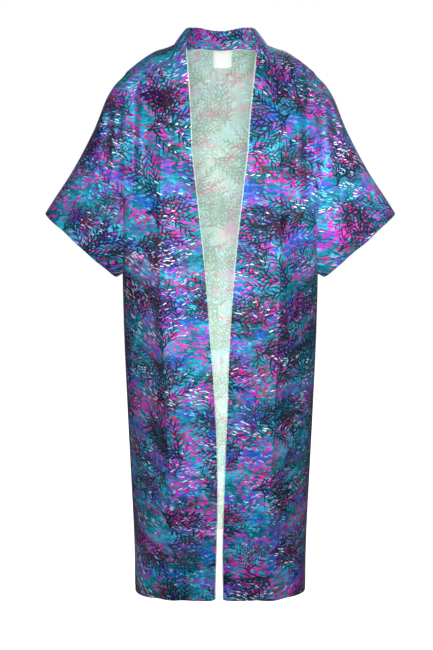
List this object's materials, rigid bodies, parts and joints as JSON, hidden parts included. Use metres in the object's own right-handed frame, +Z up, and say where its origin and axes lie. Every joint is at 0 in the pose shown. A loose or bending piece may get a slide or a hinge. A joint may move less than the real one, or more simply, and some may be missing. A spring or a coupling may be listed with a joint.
{
  "type": "kimono robe",
  "caption": "Knee-length open-front kimono robe of light printed cloth with short wide sleeves and a narrow stand-up neckband, filled out as worn.",
  "frame": {"origin": "between the shoulders at the neck, level with the upper end of the shoulder seams, where a wearer's neck and shoulders carry the robe", "axes": "+Z up, front towards -Y, +X towards the viewer's right"},
  "size_m": [0.736, 0.2851, 1.2011],
  "materials": {
    "front_left_cloth": "soft satin print",
    "front_right_cloth": "soft satin print",
    "back_cloth": "soft satin print",
    "sleeve_left_cloth": "soft satin print",
    "sleeve_right_cloth": "soft satin print",
    "neckband_cloth": "soft satin print",
    "neck_label_cloth": "plain woven"
  },
  "bodies": {
    "root": {"front_left": "front_left_cloth", "front_right": "front_right_cloth", "back": "back_cloth", "sleeve_left": "sleeve_left_cloth", "sleeve_right": "sleeve_right_cloth", "neckband": "neckband_cloth", "neck_label": "neck_label_cloth"}
  },
  "joints": []
}
